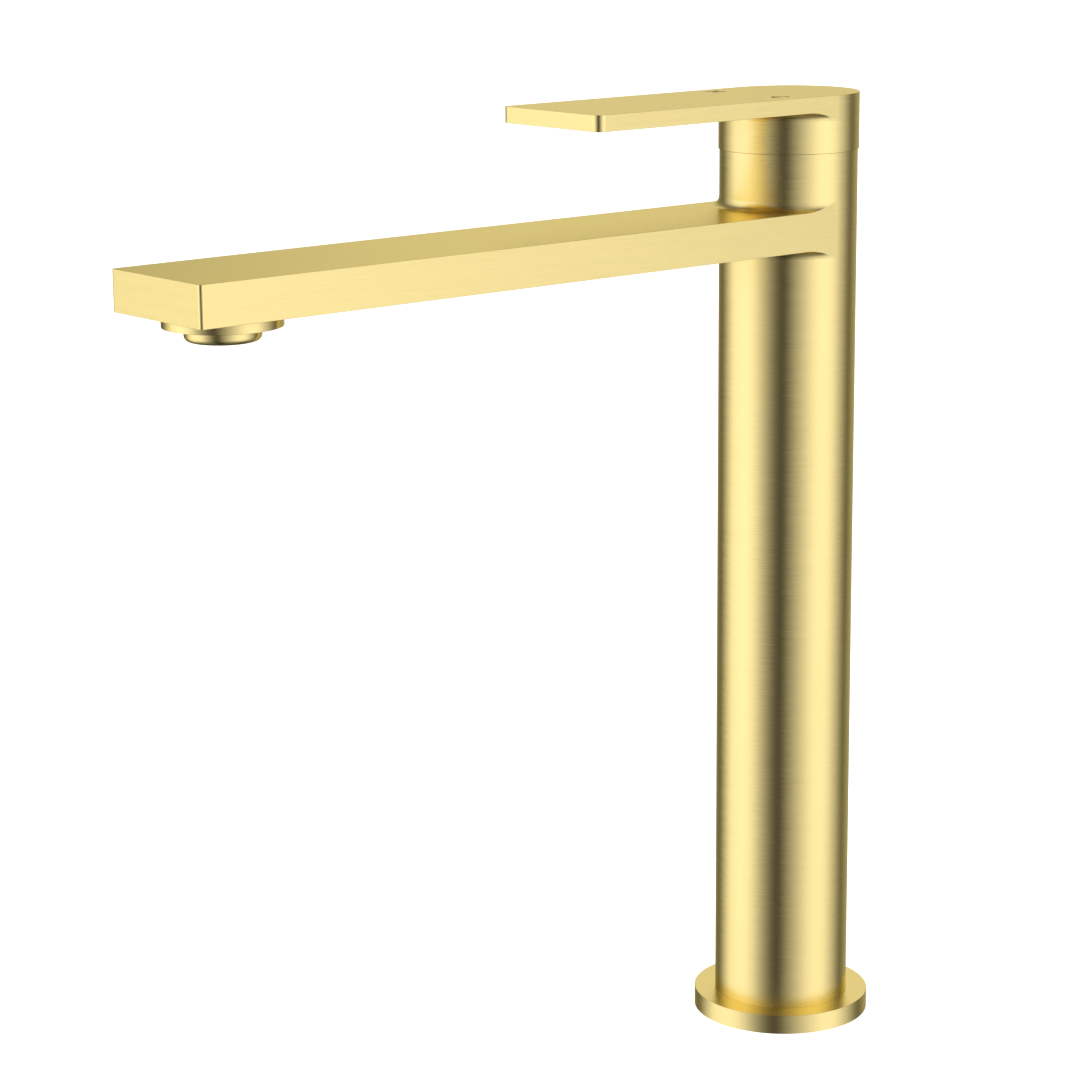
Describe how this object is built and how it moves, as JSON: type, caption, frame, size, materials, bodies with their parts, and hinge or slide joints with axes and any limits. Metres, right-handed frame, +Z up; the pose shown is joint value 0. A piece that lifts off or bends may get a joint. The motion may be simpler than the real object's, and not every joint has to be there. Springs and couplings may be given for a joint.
{
  "type": "basin mixer tap",
  "caption": "Tall single-lever basin mixer: round column on a thin deck flange, long flat spout with an aerator below its end, and a flat plate lever on a round cap.",
  "frame": {"origin": "centre of the mixer's base, on the column's axis, where it rests on the deck; it is the mouth of the fixing stud's threaded hole", "axes": "+Z up the column, the spout points to -Y, and +X is to the right of a user who faces the mixer from the basin, so cold is on +X and hot on -X"},
  "size_m": [0.0592, 0.275, 0.3136],
  "materials": {
    "brushed_gold": "fine brushed gold finish",
    "raw_brass": "plain machined brass",
    "rubber": "black EPDM rubber",
    "ceramic": "lapped white alumina",
    "cartridge_plastic": "light moulded acetal",
    "dark_plastic": "dark moulded acetal",
    "steel": "stainless steel",
    "aerator_plastic": "translucent grey acetal"
  },
  "bodies": {
    "body": {"spout_body": "brushed_gold", "base_flange": "brushed_gold", "aerator_holder": "brushed_gold", "aerator_shell": "brushed_gold", "mounting_block": "raw_brass", "hot_inlet_tube": "raw_brass", "cold_inlet_tube": "raw_brass", "valve_housing": "raw_brass", "retaining_nut": "raw_brass", "dome_ring": "brushed_gold", "deck_seal": "rubber", "inlet_tube_o_rings": "rubber", "valve_housing_o_rings": "rubber", "cartridge_seals": "rubber", "aerator_gasket": "rubber", "fixed_disc": "ceramic", "cartridge_shell": "cartridge_plastic", "cartridge_base": "cartridge_plastic", "aerator_screen": "steel", "aerator_insert": "aerator_plastic", "flow_regulator": "dark_plastic"},
    "swivel": {"turret": "dark_plastic", "pivot_pin": "steel"},
    "lever": {"lever_handle": "brushed_gold", "lever_stem": "steel", "handle_set_screw": "steel", "set_screw_plug": "brushed_gold"},
    "disc": {"moving_disc": "ceramic", "disc_carrier": "dark_plastic"}
  },
  "joints": [
    {"name": "temperature_swivel", "type": "hinge", "parent": "body", "child": "swivel", "pos_m": [0, 0, 0.279], "axis": [0, 0, 1], "range_deg": [-45, 45]},
    {"name": "lever_lift", "type": "hinge", "parent": "swivel", "child": "lever", "pos_m": [0, 0, 0.279], "axis": [-1, 0, 0], "range_deg": [0, 20]},
    {"name": "disc_slide", "type": "slide", "parent": "swivel", "child": "disc", "axis": [0, -1, 0], "range_m": [0, 0.002]}
  ],
  "couplings": [
    {"joint": "disc_slide", "follows": "lever_lift", "m_per_rad": 0.005}
  ]
}
